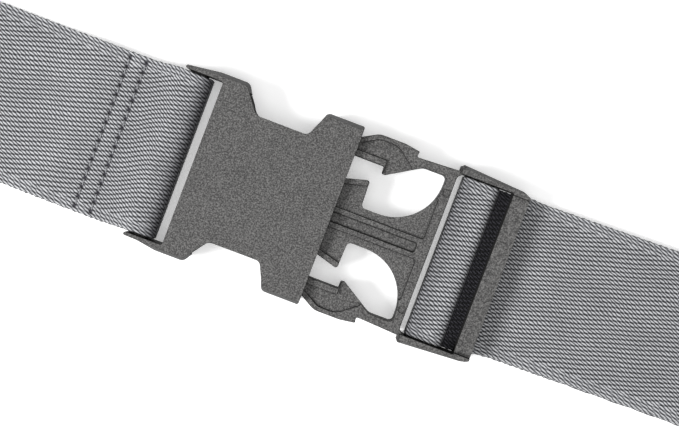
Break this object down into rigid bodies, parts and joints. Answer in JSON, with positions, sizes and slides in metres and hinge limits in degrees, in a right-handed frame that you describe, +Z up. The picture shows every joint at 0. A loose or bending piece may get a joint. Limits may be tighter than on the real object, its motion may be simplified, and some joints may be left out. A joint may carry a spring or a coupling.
{
  "type": "gait belt",
  "caption": "Webbing gait belt laid flat in a ring, sewn to the socket of a side-release buckle and threaded through the plug's ladder, with the plug half inserted.",
  "frame": {"origin": "middle of the whole belt's footprint, on the surface that the belt lies on", "axes": "+X along the belt from the socket to the plug, +Y from the buckle towards the back run of the strap, +Z up; the buckle's centre line lies at y = -0.0990718, and the socket's mouth at x = 0"},
  "size_m": [0.4926, 0.2546, 0.013],
  "materials": {
    "buckle_plastic": "dark grey acetal, matte, fine moulded grain",
    "webbing": "blue-grey polyester twill webbing, slightly glossy yarn",
    "thread": "grey bonded sewing thread"
  },
  "bodies": {
    "socket": {"socket_body": "buckle_plastic", "strap_socket_end": "webbing", "strap_left_run": "webbing", "stitch_row_inner": "thread", "stitch_row_outer": "thread"},
    "plug": {"plug_body": "buckle_plastic", "strap_ladder_end": "webbing", "strap_right_run": "webbing", "strap_tail": "webbing"},
    "latch_left": {"latch_arm_left": "buckle_plastic"},
    "latch_right": {"latch_arm_right": "buckle_plastic"}
  },
  "joints": [
    {"name": "plug_insertion", "type": "slide", "parent": "socket", "child": "plug", "axis": [1, 0, 0], "range_m": [-0.0307, 0.025], "deforming": ["latch_arm_left", "latch_arm_right"]},
    {"name": "left_latch_flex", "type": "hinge", "parent": "plug", "child": "latch_left", "pos_m": [0.026, -0.07467, 0.0065], "axis": [0, 0, 1], "range_deg": [0, 13], "stiffness_Nm_per_rad": 0.8},
    {"name": "right_latch_flex", "type": "hinge", "parent": "plug", "child": "latch_right", "pos_m": [0.026, -0.12347, 0.0065], "axis": [0, 0, -1], "range_deg": [0, 13], "stiffness_Nm_per_rad": 0.8}
  ]
}
